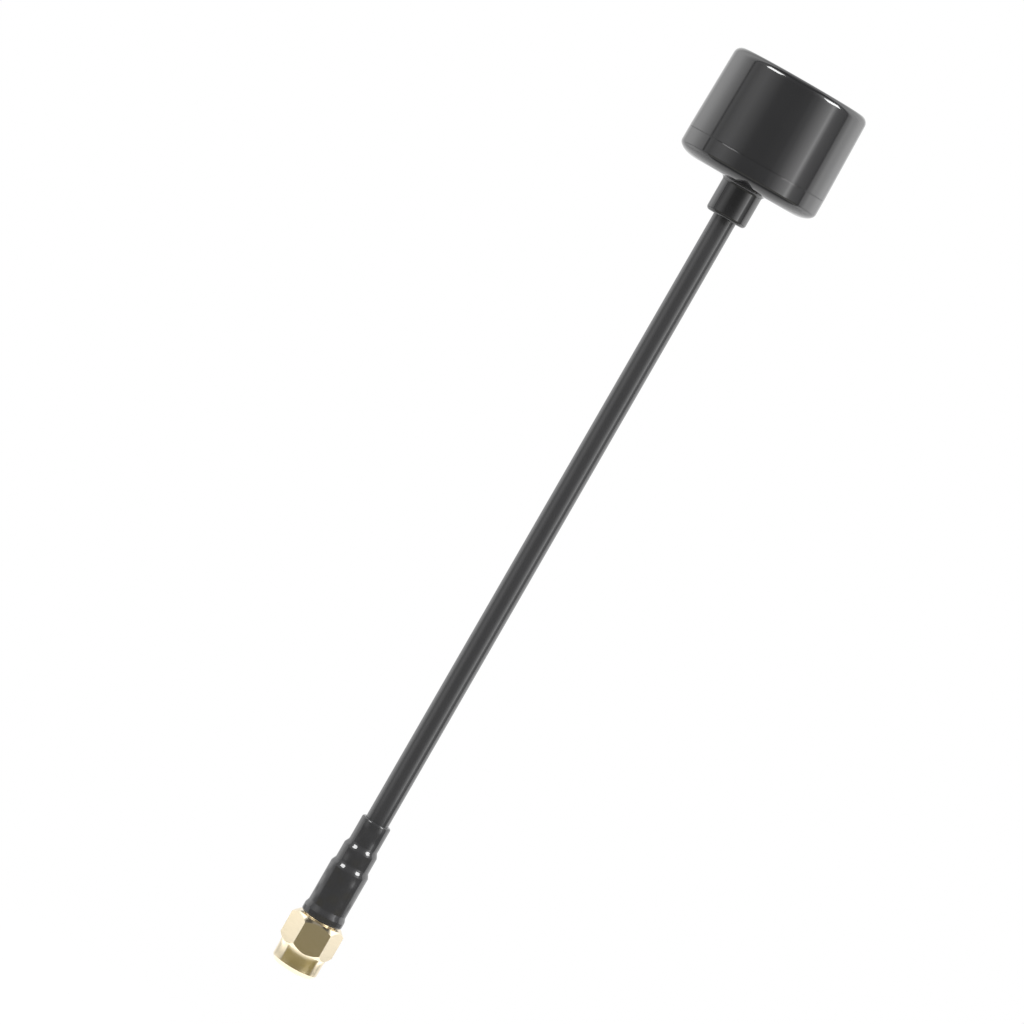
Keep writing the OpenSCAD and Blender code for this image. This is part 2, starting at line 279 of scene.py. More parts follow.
# Recovered polyolefin shrink tube: black and glossy, with faint unevenness from the
# hot air.
SHRUNK_POLYOLEFIN = Finish(
    "shrunk_polyolefin",
    "shrink_tube",
    "#2e2e2f",
    "#333334",
    0.06,
    0.01,
    ior=1.5,
    grain_mm=0.9,
    relief_mm=0.0003,
)
# Thin bright gold over turned brass: pale yellow metal with faint tool marks around
# the axis.
GOLD_PLATED_BRASS = Finish(
    "gold_plated_brass",
    "gold_plate",
    "#f6e8cb",
    "#f3e4c4",
    0.15,
    0.02,
    metallic=1.0,
    grain_mm=0.3,
    relief_mm=0.0008,
    grain=Grain.AROUND,
)
# Bare phosphor bronze strip: redder than the plating and slightly dull.
SPRING_BRONZE = Finish(
    "spring_bronze",
    "spring_bronze",
    "#d2a06c",
    "#c08f5e",
    0.32,
    0.05,
    metallic=1.0,
    grain_mm=0.3,
    relief_mm=0.001,
)
# Skived PTFE: dense white, waxy and matte.
SKIVED_PTFE = Finish(
    "skived_ptfe",
    "ptfe",
    "#e9e8e3",
    "#e1e0da",
    0.5,
    0.05,
    ior=1.35,
    grain_mm=0.3,
    relief_mm=0.002,
)
# Silver-plated drawn wire: bright with draw lines along it.
SILVERED_WIRE = Finish(
    "silvered_wire",
    "silvered_wire",
    "#e6e3dc",
    "#dad7cf",
    0.22,
    0.04,
    metallic=1.0,
    grain_mm=0.3,
    relief_mm=0.001,
    grain=Grain.ALONG,
)
# Tin-dipped copper tube: grey-white metal with a soft, cloudy gloss.
TINNED_COPPER = Finish(
    "tinned_copper",
    "tinned_copper",
    "#c9c7c2",
    "#b9b7b1",
    0.34,
    0.08,
    metallic=1.0,
    grain_mm=0.6,
    relief_mm=0.003,
)
# Etched copper foil: bright orange-pink metal, brushed when the board was cleaned.
ETCHED_COPPER = Finish(
    "etched_copper",
    "copper_foil",
    "#e0a080",
    "#cf8f70",
    0.3,
    0.06,
    metallic=1.0,
    grain_mm=0.4,
    relief_mm=0.001,
)
# Frozen tin solder: bright, slightly grainy metal.
FROZEN_SOLDER = Finish(
    "frozen_solder",
    "solder",
    "#cfcfce",
    "#bdbdbc",
    0.25,
    0.1,
    metallic=1.0,
    grain_mm=0.3,
    relief_mm=0.004,
)
# Glass-filled laminate under a green resist: satin, with the cloth just showing.
RESIST_LAMINATE = Finish(
    "resist_laminate",
    "board_laminate",
    "#2f4a2a",
    "#385532",
    0.38,
    0.05,
    grain_mm=0.5,
    relief_mm=0.003,
)
# Moulded silicone rubber: red and matte.
MOULDED_SILICONE = Finish(
    "moulded_silicone",
    "silicone",
    "#a8322a",
    "#9a2c25",
    0.55,
    0.05,
    ior=1.41,
    grain_mm=0.3,
    relief_mm=0.003,
)

# One finish for each material slot of the record
FINISHES = (
    MOULDED_POLYCARBONATE,
    EXTRUDED_JACKET,
    SHRUNK_POLYOLEFIN,
    GOLD_PLATED_BRASS,
    SPRING_BRONZE,
    SKIVED_PTFE,
    SILVERED_WIRE,
    TINNED_COPPER,
    ETCHED_COPPER,
    FROZEN_SOLDER,
    RESIST_LAMINATE,
    MOULDED_SILICONE,
)


def arc(
    centre: tuple[float, float],
    radius: tuple[float, float],
    start: float,
    end: float,
    steps: int = 10,
) -> Outline:
    """Points of a round or oval stretch of an outline.

    Args:
        centre: Radius and height of the stretch's centre.
        radius: Its half width and half height.
        start: First angle in degrees, 0 pointing outward and 90 up.
        end: Last angle in degrees.
        steps: Number of spans.

    Returns:
        The points from start to end.
    """
    turns = [math.radians(start + (end - start) * i / steps) for i in range(steps + 1)]
    return [
        (centre[0] + radius[0] * math.cos(a), centre[1] + radius[1] * math.sin(a))
        for a in turns
    ]


def ease(t: float) -> float:
    """Smooth step from 0 to 1."""
    return t * t * (3 - 2 * t)


def ring_points(outline: Outline, angle: float) -> list[Point]:
    """Places an outline at an angle around the antenna's axis.

    Args:
        outline: The outline's points.
        angle: Angle about the axis in radians.

    Returns:
        The points in metres.
    """
    return [
        (r * MM * math.cos(angle), r * MM * math.sin(angle), z * MM) for r, z in outline
    ]


def revolved(name: str, columns: list[list[Point]], closed: bool) -> bpy.types.Object:
    """Joins columns of points, one per angle, into a smooth closed mesh.

    Args:
        name: The object's name.
        columns: For each angle around the axis, its points in metres.
        closed: False if both ends of the outline lie on the axis.

    Returns:
        The new object.
    """
    mesh = bmesh.new()
    rows = len(columns[0])
    grid = [[mesh.verts.new(p) for p in column] for column in columns]
    last = rows if closed else rows - 1
    for i, column in enumerate(grid):
        following = grid[(i + 1) % len(grid)]
        for j in range(last):
            k = (j + 1) % rows
            mesh.faces.new((column[j], following[j], following[k], column[k]))
    bmesh.ops.remove_doubles(mesh, verts=mesh.verts, dist=MERGE_DISTANCE)
    bmesh.ops.recalc_face_normals(mesh, faces=mesh.faces)
    for face in mesh.faces:
        face.smooth = True
    sharp = math.radians(SHARP_ANGLE)
    for edge in mesh.edges:
        edge.smooth = len(edge.link_faces) == 2 and edge.calc_face_angle(0) < sharp
    data = bpy.data.meshes.new(name)
    mesh.to_mesh(data)
    mesh.free()
    piece = bpy.data.objects.new(name, data)
    bpy.context.scene.collection.objects.link(piece)
    return piece


def lathe(
    name: str, outline: Outline, segments: int, closed: bool = True
) -> bpy.types.Object:
    """Turns an outline of radius and height, in millimetres, around the antenna's axis.

    Args:
        name: The object's name.
        outline: The outline's points.
        segments: Number of spans around the axis.
        closed: False if both ends of the outline lie on the axis.

    Returns:
        The new object.
    """
    turns = [2 * math.pi * i / segments for i in range(segments)]
    return revolved(name, [ring_points(outline, a) for a in turns], closed)


def rounded_edges(
    piece: bpy.types.Object, width_mm: float, angle: float = 24, segments: int = 3
) -> None:
    """Gives a piece's hard edges the small rounding that catches light.

    Args:
        piece: The piece.
        width_mm: Width of the rounding.
        angle: Edges sharper than this many degrees are rounded.
        segments: Number of spans across the rounding.
    """
    edges = piece.modifiers.new("edge_rounding", "BEVEL")
    edges.width = width_mm * MM
    edges.segments = segments
    edges.limit_method = "ANGLE"
    edges.angle_limit = math.radians(angle)
    edges.harden_normals = True


def dress(
    piece: bpy.types.Object, finish: Finish, body: str, *replaced: str
) -> bpy.types.Object:
    """Gives a new piece its finish, its body and the solids that it stands for.

    Args:
        piece: The new piece.
        finish: Its finish.
        body: The body that it rides on.
        *replaced: The nodes that it replaces.

    Returns:
        The same piece.
    """
    piece.data.materials.clear()
    piece.data.materials.append(finish.material())
    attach(piece, body)
    if replaced:
        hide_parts(*replaced)
    LOG.info("%s: %s on %s", piece.name, finish.name, body)
    return piece


def span_mm(node: str) -> tuple[float, float, float]:
    """Outer radius, lowest and highest height of a round solid, in millimetres.

    Args:
        node: The solid's node.

    Returns:
        Radius, bottom and top.
    """
    low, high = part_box(node)
    radius = min(-low.x, high.x, -low.y, high.y)
    return radius / MM, low.z / MM, high.z / MM


@dataclass
class Camera:
    """Long-lens camera in front, rolled so that the antenna leans as in the photo."""

    distance_mm: float = 750.0
    height_mm: float = 140.0
    aim_x_mm: float = -5.9
    aim_z_mm: float = 79.64
    roll: float = 29.93
    frame_mm: float = 159.75
    sensor_mm: float = 36.0
    clip_m: Span = (0.01, 20.0)

    def build(self) -> bpy.types.Object:
        """Creates the camera and makes it the scene's.

        Returns:
            The camera.
        """
        place = Vector((self.aim_x_mm, -self.distance_mm, self.height_mm)) * MM
        aim = Vector((self.aim_x_mm, 0, self.aim_z_mm)) * MM
        data = bpy.data.cameras.new("photo_camera")
        data.sensor_width = self.sensor_mm
        data.lens = self.sensor_mm * (aim - place).length / (self.frame_mm * MM)
        data.clip_start, data.clip_end = self.clip_m
        camera = bpy.data.objects.new("photo_camera", data)
        bpy.context.scene.collection.objects.link(camera)
        turn = (aim - place).to_track_quat("-Z", "Y").to_matrix().to_4x4()
        roll = Matrix.Rotation(math.radians(self.roll), 4, "Z")
        camera.matrix_world = Matrix.Translation(place) @ turn @ roll
        bpy.context.scene.camera = camera
        LOG.info("camera with a %.0f mm lens", data.lens)
        return camera


@dataclass
class Studio:
    """White studio: a pale floor, a room with white behind and dim in front, two lamps.

    The room's light depends on direction alone. Its heights are the upward part of a
    unit direction: 1 is straight up, 0 level and -1 straight down.
    """

    floor_drop_mm: float = 160.0
    floor_back_mm: float = 250.0
    floor_radius_mm: float = 500.0
    floor_shade: float = 0.86
    # The floor's rim fades over these shares of its radius
    floor_fade: Span = (0.45, 0.98)
    floor_segments: int = 96
    lamp_distance_mm: float = 900.0
    lamp_width_mm: float = 382.0
    lamp_height_mm: float = 317.0
    lamp_power: float = 6.6
    # Turn and rise of each lamp, in degrees from the camera's side
    lamp_directions: tuple[tuple[float, float], ...] = ((-53.0, 39.0), (63.0, 38.0))
    # Panels of the front, which the radome and the stalk mirror
    panels: Levels = (
        (-88, 0.42),
        (-84, 0.89),
        (-76, 0.71),
        (-65, 1.05),
        (-54, 1.18),
        (-44, 0.9),
        (-35, 0.65),
        (-25, 0.34),
        (-16, 0.3),
        (0, 0.27),
        (14, 0.32),
        (23, 0.37),
        (26, 0.53),
        (33, 0.68),
        (42, 1.33),
        (52, 2.15),
        (57, 2.6),
        (60, 3.1),
        (62, 4.2),
        (64, 3.1),
        (66, 2.4),
        (70, 1.15),
        (77, 0.8),
        (89, 0.51),
        (94, 0.32),
    )
    # White sweep behind the antenna
    sweep: Levels = (
        (-180, 1.0),
        (-147, 0.95),
        (-138, 1.33),
        (-123, 1.85),
        (-115, 1.95),
        (-106, 1.75),
        (-97, 1.5),
        (-90, 1.3),
        (90, 1.2),
        (98, 1.3),
        (103, 1.6),
        (108, 2.1),
        (119, 1.8),
        (132, 1.7),
        (150, 1.1),
        (180, 1.0),
    )
    # Dim band of the sweep, which the sides of the nut mirror
    low_sweep: Levels = (
        (-180, 1.1),
        (-150, 1.0),
        (-130, 0.5),
        (-80, 0.5),
        (80, 0.44),
        (125, 0.44),
        (145, 1.0),
        (180, 1.1),
    )
    # Dark flags below the panels, which the sleeve and the nut mirror
    flags: Levels = (
        (-90, 0.22),
        (-50, 0.2),
        (0, 0.18),
        (35, 0.19),
        (46, 0.24),
        (62, 0.24),
        (72, 0.19),
        (90, 0.18),
    )
    # The lowest flag, which the nut alone mirrors, is warm
    flag_tint: tuple[float, float, float] = (1.4, 1.23, 0.57)
    warm_flag_top: Span = (-0.175, -0.169)
    flags_top: Span = (-0.149, -0.145)
    # The room darkens overhead and is a little lighter at its very top
    overhead: Span = (0.77, 0.9)
    overhead_level: float = 0.05
    zenith: Span = (0.955, 0.975)
    zenith_level: float = 0.3
    # Pale strip below the camera, which the nut's waist mirrors, and ground under it
    strip_top: Span = (-0.36, -0.33)
    strip_level: float = 1.5
    strip_bottom: Span = (-0.47, -0.44)
    ground_level: float = 0.25
    low_sweep_bottom: Span = (-0.26, -0.22)
    low_sweep_top: Span = (-0.172, -0.166)
    # Border between front and sweep: how it leans, bends and comes forward low down
    lean_heights: Span = (-0.15, -0.1)
    leans: tuple[float, float] = (-0.176, -0.05)
    bend: float = 0.2
    forward_heights: Span = (-0.18, -0.165)
    forward: float = 0.1
    # Distances behind the border over which a gap and then the sweep set in
    gap_from: Span = (-0.06, 0.0)
    gap_level: float = 0.33
    sweep_from: Span = (0.01, 0.05)
    # Distances behind the antenna over which gloss starts to mirror the backdrop
    backdrop_from: Span = (0.84, 0.9)

    def ramp(
        self,
        tree: bpy.types.NodeTree,
        share: bpy.types.NodeSocket,
        levels: Levels,
        tint: tuple[float, float, float] = (1.0, 1.0, 1.0),
    ) -> bpy.types.NodeSocket:
        """Adds a light level that depends on the turn.

        Args:
            tree: The world's node tree.
            share: The turn, 0 to 1 for a full circle that starts behind.
            levels: The turns in degrees with their levels.
            tint: Linear colour at level 1.

        Returns:
            The level's colour.
        """
        brightest = max(level for _, level in levels)
        node = add_node(tree, "ShaderNodeValToRGB", {}, {"Fac": share})
        stops = node.color_ramp.elements
        while len(stops) > 1:
            stops.remove(stops[-1])
        for number, (angle, level) in enumerate(levels):
            where = (angle + 180) / 360
            stop = stops[0] if number == 0 else stops.new(where)
            stop.position = where
            stop.color = tuple(part * level / brightest for part in tint) + (1,)
        light = add_node(
            tree,
            "ShaderNodeVectorMath",
            {"operation": "SCALE", "Scale": brightest},
            {"0": node.outputs["Color"]},
        )
        return light.outputs["Vector"]

    def maths(
        self,
        tree: bpy.types.NodeTree,
        operation: str,
        *terms: bpy.types.NodeSocket | float,
    ) -> bpy.types.NodeSocket:
        """Adds a sum of its terms, or another operation on them.

        Args:
            tree: The world's node tree.
            operation: The operation's name.
            *terms: Sockets or plain numbers.

        Returns:
            The result.
        """
        node = add_node(tree, "ShaderNodeMath", {"operation": operation})
        for number, term in enumerate(terms):
            if isinstance(term, bpy.types.NodeSocket):
                tree.links.new(term, node.inputs[number])
            else:
                node.inputs[number].default_value = term
        return node.outputs[0]

    def slide(
        self,
        tree: bpy.types.NodeTree,
        value: bpy.types.NodeSocket,
        span: Span,
        start: float = 0.0,
        end: float = 1.0,
    ) -> bpy.types.NodeSocket:
        """Adds a number that changes smoothly while a value rises.

        Args:
            tree: The world's node tree.
            value: The value.
            span: Where the change starts and ends.
            start: The number before the change.
            end: The number after it.

        Returns:
            The number.
        """
        settings = {
            "interpolation_type": "SMOOTHSTEP",
            "From Min": span[0],
            "From Max": span[1],
            "To Min": start,
            "To Max": end,
        }
        node = add_node(tree, "ShaderNodeMapRange", settings, {"Value": value})
        return node.outputs["Result"]

    def between(
        self,
        tree: bpy.types.NodeTree,
        value: bpy.types.NodeSocket,
        span: Span,
        off: bpy.types.NodeSocket | float,
        on: bpy.types.NodeSocket | float,
    ) -> bpy.types.NodeSocket:
        """Adds a smooth change from one level to another while a value rises.

        Args:
            tree: The world's node tree.
            value: The value.
            span: Where the change starts and ends.
            off: Level before the change.
            on: Level after it.

        Returns:
            The level's colour.
        """
        rise = self.slide(tree, value, span)
        blend = add_node(tree, "ShaderNodeMix", {"data_type": "RGBA"}, {"0": rise})
        for number, level in ((6, off), (7, on)):
            if isinstance(level, bpy.types.NodeSocket):
                tree.links.new(level, blend.inputs[number])
            else:
                blend.inputs[number].default_value = (level, level, level, 1)
        return blend.outputs[2]

    def front(
        self,
        tree: bpy.types.NodeTree,
        z: bpy.types.NodeSocket,
        share: bpy.types.NodeSocket,
    ) -> bpy.types.NodeSocket:
        """Adds the room in front: panels, with flags, a strip and the ground below.

        Args:
            tree: The world's node tree.
            z: Height of the direction.
            share: Its turn, 0 to 1 for a full circle that starts behind.

        Returns:
            The light's colour.
        """
        warm = self.ramp(tree, share, self.flags, self.flag_tint)
        flags = self.ramp(tree, share, self.flags)
        light = self.between(tree, z, self.warm_flag_top, warm, flags)
        panels = self.ramp(tree, share, self.panels)
        light = self.between(tree, z, self.flags_top, light, panels)
        light = self.between(tree, z, self.overhead, light, self.overhead_level)
        light = self.between(tree, z, self.zenith, light, self.zenith_level)
        light = self.between(tree, z, self.strip_top, self.strip_level, light)
        return self.between(tree, z, self.strip_bottom, self.ground_level, light)

    def behind(
        self,
        tree: bpy.types.NodeTree,
        z: bpy.types.NodeSocket,
        share: bpy.types.NodeSocket,
    ) -> bpy.types.NodeSocket:
        """Adds the room behind: the white sweep with a dim band low down.

        Args:
            tree: The world's node tree.
            z: Height of the direction.
            share: Its turn, 0 to 1 for a full circle that starts behind.

        Returns:
            The light's colour.
        """
        sweep = self.ramp(tree, share, self.sweep)
        low_sweep = self.ramp(tree, share, self.low_sweep)
        light = self.between(tree, z, self.low_sweep_bottom, sweep, low_sweep)
        return self.between(tree, z, self.low_sweep_top, light, sweep)

    def border(
        self,
        tree: bpy.types.NodeTree,
        x: bpy.types.NodeSocket,
        y: bpy.types.NodeSocket,
        z: bpy.types.NodeSocket,
    ) -> bpy.types.NodeSocket:
        """Adds how far a direction lies behind the border between front and sweep.

        The border is a plane through the antenna, turned and brought forward low down,
        that bends back above and below.

        Args:
            tree: The world's node tree.
            x: The direction's part to the right.
            y: Its part to the back.
            z: Its part upward.

        Returns:
            The distance.
        """
        lean = self.slide(tree, z, self.lean_heights, *self.leans)
        depth = self.maths(tree, "MULTIPLY_ADD", x, lean, y)
        square = self.maths(tree, "MULTIPLY", z, z)
        depth = self.maths(tree, "MULTIPLY_ADD", square, -self.bend, depth)
        forward = self.slide(tree, z, self.forward_heights, self.forward, 0.0)
        return self.maths(tree, "ADD", depth, forward)

    def backdrop(
        self, tree: bpy.types.NodeTree, y: bpy.types.NodeSocket
    ) -> bpy.types.NodeSocket:
        """Adds which rays see the white backdrop.

        The camera and clear parts see it everywhere, and gloss where it stands.

        Args:
            tree: The world's node tree.
            y: The direction's part to the back.

        Returns:
            1 for rays that see it, 0 for the others.
        """
        path = add_node(tree, "ShaderNodeLightPath")
        seen = self.maths(
            tree,
            "MAXIMUM",
            path.outputs["Is Camera Ray"],
            path.outputs["Is Transmission Ray"],
        )
        stands = self.slide(tree, y, self.backdrop_from)
        mirrored = self.maths(tree, "MULTIPLY", path.outputs["Is Glossy Ray"], stands)
        return self.maths(tree, "MAXIMUM", seen, mirrored)

    def world(self) -> None:
        """Lights the room by direction, and shows the backdrop plain white."""
        world = bpy.data.worlds.new("studio_room")
        world.use_nodes = True
        tree = world.node_tree
        tree.nodes.clear()
        place = add_node(tree, "ShaderNodeTexCoord")
        parts = add_node(
            tree, "ShaderNodeSeparateXYZ", {}, {"Vector": place.outputs["Generated"]}
        )
        x, y, z = (parts.outputs[name] for name in "XYZ")
        turn = self.maths(tree, "ARCTAN2", x, self.maths(tree, "MULTIPLY", y, -1.0))
        share = add_node(
            tree,
            "ShaderNodeMapRange",
            {"From Min": -math.pi, "From Max": math.pi},
            {"Value": turn},
        ).outputs["Result"]
        border = self.border(tree, x, y, z)
        front = self.front(tree, z, share)
        gap = self.between(tree, border, self.gap_from, front, self.gap_level)
        behind = self.behind(tree, z, share)
        room = self.between(tree, border, self.sweep_from, gap, behind)
        light = add_node(tree, "ShaderNodeBackground", {}, {"Color": room})
        white = add_node(
            tree, "ShaderNodeBackground", {"Color": (1, 1, 1, 1), "Strength": 1.0}
        )
        both = add_node(
            tree,
            "ShaderNodeMixShader",
            {},
            {
                "0": self.backdrop(tree, y),
                "1": light.outputs["Background"],
                "2": white.outputs["Background"],
            },
        )
        add_node(tree, "ShaderNodeOutputWorld", {}, {"Surface": both.outputs["Shader"]})
        bpy.context.scene.world = world

    def lamps(self) -> None:
        """Hangs the two high soft lamps."""
        centre = Vector((cad_low + cad_high) / 2)
        for number, (turn, rise) in enumerate(self.lamp_directions):
            data = bpy.data.lights.new(f"lamp_{number + 1}", "AREA")
            data.shape = "RECTANGLE"
            data.size = self.lamp_width_mm * MM
            data.size_y = self.lamp_height_mm * MM
            data.energy = self.lamp_power
            a, e = math.radians(turn), math.radians(rise)
            back = Vector(
                (
                    math.sin(a) * math.cos(e),
                    -math.cos(a) * math.cos(e),
                    math.sin(e),
                )
            )
            lamp = bpy.data.objects.new(data.name, data)
            lamp.matrix_world = (
                Matrix.Translation(centre + back * self.lamp_distance_mm * MM)
                @ (-back).to_track_quat("-Z", "Y").to_matrix().to_4x4()
            )
            bpy.context.scene.collection.objects.link(lamp)

    def floor(self) -> None:
        """Lays the pale floor, whose rim fades into the white sweep."""
        level = -self.floor_drop_mm
        outline = [(0.0, level), (self.floor_radius_mm, level)]
        piece = lathe("floor", outline, self.floor_segments, closed=False)
        piece.location.y = self.floor_back_mm * MM
        made = bpy.data.materials.new("pale_floor")
        made.use_nodes = True
        tree = made.node_tree
        tree.nodes.clear()
        place = add_node(tree, "ShaderNodeTexCoord")
        flat = add_node(
            tree,
            "ShaderNodeVectorMath",
            {"operation": "MULTIPLY", "1": (1, 1, 0)},
            {"0": place.outputs["Object"]},
        )
        reach = add_node(
            tree,
            "ShaderNodeVectorMath",
            {"operation": "LENGTH"},
            {"0": flat.outputs["Vector"]},
        )
        fade = add_node(
            tree,
            "ShaderNodeMapRange",
            {
                "interpolation_type": "SMOOTHSTEP",
                "From Min": self.floor_radius_mm * MM * self.floor_fade[0],
                "From Max": self.floor_radius_mm * MM * self.floor_fade[1],
            },
            {"Value": reach.outputs["Value"]},
        )
        paint = add_node(
            tree, "ShaderNodeBsdfDiffuse", {"Color": (self.floor_shade,) * 3 + (1,)}
        )
        sweep = add_node(tree, "ShaderNodeBsdfTransparent")
        both = add_node(
            tree,
            "ShaderNodeMixShader",
            {},
            {
                "0": fade.outputs["Result"],
                "1": paint.outputs["BSDF"],
                "2": sweep.outputs["BSDF"],
            },
        )
        add_node(
            tree, "ShaderNodeOutputMaterial", {}, {"Surface": both.outputs["Shader"]}
        )
        piece.data.materials.append(made)

    def build(self) -> None:
        """Builds room, lamps and floor, and sets the plain view transform."""
        bpy.context.scene.view_settings.view_transform = "Standard"
        self.world()
        self.lamps()
        self.floor()
        LOG.info("studio with %d lamps", len(self.lamp_directions))


@dataclass
class Radome:
    """The two glossy mouldings around the radiator, whose seam is a fine groove."""

    wall_mm: float = 1.2
    top_wall_mm: float = 1.4
    draft_mm: float = 0.3
    edge_round_mm: float = 1.3
    inner_round_mm: float = 0.6
    cap_lip_mm: float = 0.04
    base_lip_mm: float = 0.12
    base_height_mm: float = 4.1
    floor_wall_mm: float = 1.6
    corner_width_mm: float = 3.4
    corner_height_mm: float = 1.7
    neck_length_mm: float = 5.8
    neck_radius_mm: float = 3.425
    neck_bore_mm: float = 2.0
    neck_root_mm: float = 0.6
    neck_end_mm: float = 0.6
    spigot_out_mm: float = 10.66
    spigot_in_mm: float = 9.76
    segments: int = 224

    def cap(self) -> bpy.types.Object:
        """Builds the cap with its drafted side and rounded edges.

        Returns:
            The cap.
        """
        radius, seam, top = span_mm("radome_cap")
        draft = math.degrees(math.atan(self.draft_mm / (top - seam)))
        slope = math.tan(math.radians(draft))
        inner = radius - self.wall_mm
        ceiling = top - self.top_wall_mm
        edge_r = (
            radius
            - (top - seam - self.edge_round_mm) * slope
            - self.edge_round_mm / math.cos(math.radians(draft))
        )
        inner_r = inner - (ceiling - seam) * slope - self.inner_round_mm
        lip, edge, inside = self.cap_lip_mm, self.edge_round_mm, self.inner_round_mm
        outline = arc((radius - lip, seam + lip), (lip, lip), -90, 0)
        outline += arc((edge_r, top - edge), (edge, edge), draft, 90, steps=16)
        outline += [(0.0, top), (0.0, ceiling)]
        centre = (inner_r, ceiling - inside)
        outline += arc(centre, (inside, inside), 90, draft, steps=6)
        outline.append((inner, seam))
        piece = lathe("cap_moulding", outline, self.segments)
        return dress(piece, MOULDED_POLYCARBONATE, "antenna", "radome_cap")

    def base(self) -> bpy.types.Object:
        """Builds the base with its neck, oval corner and spigot.

        Returns:
            The base.
        """
        radius, neck_end, spigot_top = span_mm("radome_base")
        bottom = neck_end + self.neck_length_mm
        seam = bottom + self.base_height_mm
        neck_r = self.neck_radius_mm
        bore = self.neck_bore_mm
        end = self.neck_end_mm
        outline = [(bore, neck_end + end), (bore + end, neck_end)]
        outline += arc((neck_r - end, neck_end + end), (end, end), -90, 0, steps=8)
        root = self.neck_root_mm
        outline += arc((neck_r + root, bottom - root), (root, root), 180, 90)
        corner = (self.corner_width_mm, self.corner_height_mm)
        centre = (radius - corner[0], bottom + corner[1])
        outline += arc(centre, corner, -90, 0, steps=24)
        lip = self.base_lip_mm
        outline += arc((radius - lip, seam - lip), (lip, lip), 0, 90, steps=6)
        outline += [
            (self.spigot_out_mm, seam),
            (self.spigot_out_mm, spigot_top - self.cap_lip_mm),
            (self.spigot_out_mm - self.cap_lip_mm, spigot_top),
            (self.spigot_in_mm, spigot_top),
            (self.spigot_in_mm, bottom + self.floor_wall_mm),
            (bore, bottom + self.floor_wall_mm),
        ]
        piece = lathe("base_moulding", outline, self.segments)
        return dress(piece, POLISHED_POLYCARBONATE, "antenna", "radome_base")

    def build(self) -> None:
        """Builds both mouldings."""
        self.cap()
        self.base()


@dataclass
class ShrinkSleeve:
    """The shrunk sleeve, which follows the flange, barrel and ferrule under it."""

    wall_mm: float = 0.55
    flange_mm: float = 2.99
    barrel_mm: float = 2.74
    ferrule_mm: float = 2.36
    cable_mm: float = 1.96
    flange_length_mm: float = 1.1
    barrel_length_mm: float = 7.85
    ferrule_length_mm: float = 3.5
    flange_slope_mm: float = 0.95
    slope_mm: float = 1.05
    end_round_mm: float = 0.3
    # Degrees from the side at which the rounding of an end meets the wall
    end_angle: float = 18
    end_spans: int = 4
    unevenness_mm: float = 0.012
    # Waves of the wall: lobes around, radians per millimetre along, phase and share
    waves: tuple[tuple[float, float, float, float], ...] = (
        (2, 0.62, 0.4, 0.45),
        (3, 1.15, 1.7, 0.3),
        (5, 1.9, 3.1, 0.25),
    )
    segments: int = 128
    row_mm: float = 0.08
    # The hidden inner wall has one row for this many of the outer wall
    inner_stride: int = 2

    def inner_radius(self, height: float) -> float:
        """Inner radius at a height above the sleeve's lower end.

        Args:
            height: Height in millimetres.

        Returns:
            The radius in millimetres.
        """
        barrel = self.flange_length_mm
        ferrule = barrel + self.barrel_length_mm
        cable = ferrule + self.ferrule_length_mm
        steps = (
            (barrel, self.flange_slope_mm, self.barrel_mm - self.flange_mm),
            (ferrule, self.slope_mm, self.ferrule_mm - self.barrel_mm),
            (cable, self.slope_mm, self.cable_mm - self.ferrule_mm),
        )
        radius = self.flange_mm
        for start, slope, change in steps:
            radius += change * ease(min(max((height - start) / slope, 0.0), 1.0))
        return radius

    def waviness(self, angle: float, height: float) -> float:
        """Small unevenness of the shrunk wall.

        Args:
            angle: Angle about the axis in radians.
            height: Height in millimetres.

        Returns:
            Change of the outer radius in millimetres.
        """
        total = sum(
            share * math.sin(lobes * angle + phase) * math.cos(rate * height + phase)
            for lobes, rate, phase, share in self.waves
        )
        return self.unevenness_mm * total

    def build(self) -> bpy.types.Object:
        """Builds the sleeve.

        Returns:
            The sleeve.
        """
        _, bottom, top = span_mm("shrink_sleeve")
        length = top - bottom
        rows = int(length / self.row_mm)
        columns = []
        end = self.end_round_mm
        for i in range(self.segments):
            a = 2 * math.pi * i / self.segments
            outer = []
            for j in range(rows + 1):
                h = end + (length - 2 * end) * j / rows
                r = self.inner_radius(h) + self.wall_mm + self.waviness(a, h)
                outer.append((r, bottom + h))
            low_r, high_r = outer[0][0] - end, outer[-1][0] - end
            side, spans = self.end_angle, self.end_spans
            points = arc((low_r, bottom + end), (end, end), -90, -side, spans)
            points += outer
            points += arc((high_r, top - end), (end, end), side, 90, spans)
            points += [
                (self.inner_radius(length * j / rows), bottom + length * j / rows)
                for j in range(rows, -1, -self.inner_stride)
            ]
            columns.append(ring_points(points, a))
        piece = revolved("shrunk_sleeve", columns, closed=True)
        return dress(piece, SHRUNK_POLYOLEFIN, "antenna", "shrink_sleeve")


